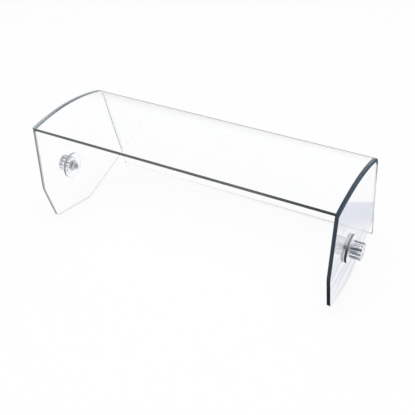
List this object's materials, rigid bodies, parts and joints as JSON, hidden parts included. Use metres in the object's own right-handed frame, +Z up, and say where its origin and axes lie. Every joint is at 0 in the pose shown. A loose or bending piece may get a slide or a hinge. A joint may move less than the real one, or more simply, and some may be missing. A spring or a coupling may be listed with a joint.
{
  "type": "sneeze guard",
  "caption": "Clear plastic sneeze guard: a bent canopy sheet on shield-shaped end panels, with captive fluted knobs that clamp it to a support.",
  "frame": {"origin": "on the table, under the middle of the overall box, with the guard resting on its heels and the bottom edge of its rear wall", "axes": "+X along the guard to its right end as seen from the open front, +Y from the open front to the rear wall, +Z up"},
  "size_m": [0.5758, 0.2616, 0.2166],
  "materials": {
    "clear_sheet": "clear polished sheet",
    "clear_moulding": "clear polished moulding",
    "nylon": "natural nylon",
    "stainless": "bright turned"
  },
  "bodies": {
    "guard": {"canopy": "clear_sheet", "left_end_panel": "clear_sheet", "left_disc": "clear_moulding", "left_washer": "nylon", "left_bush": "nylon", "right_end_panel": "clear_sheet", "right_disc": "clear_moulding", "right_washer": "nylon", "right_bush": "nylon"},
    "left_ring": {"left_retaining_ring": "stainless"},
    "right_ring": {"right_retaining_ring": "stainless"},
    "left_knob": {"left_knob": "clear_moulding", "left_knob_cap": "clear_moulding", "left_knob_insert": "stainless", "left_stud": "stainless"},
    "right_knob": {"right_knob": "clear_moulding", "right_knob_cap": "clear_moulding", "right_knob_insert": "stainless", "right_stud": "stainless"}
  },
  "joints": [
    {"name": "left_knob_float", "type": "slide", "parent": "guard", "child": "left_ring", "axis": [-1, 0, 0], "range_m": [0, 0.0025]},
    {"name": "left_knob_turn", "type": "hinge", "parent": "left_ring", "child": "left_knob", "pos_m": [-0.265, -0.04425, 0.09], "axis": [-1, 0, 0], "continuous": true},
    {"name": "right_knob_float", "type": "slide", "parent": "guard", "child": "right_ring", "axis": [1, 0, 0], "range_m": [0, 0.0025]},
    {"name": "right_knob_turn", "type": "hinge", "parent": "right_ring", "child": "right_knob", "pos_m": [0.265, -0.04425, 0.09], "axis": [1, 0, 0], "continuous": true}
  ]
}
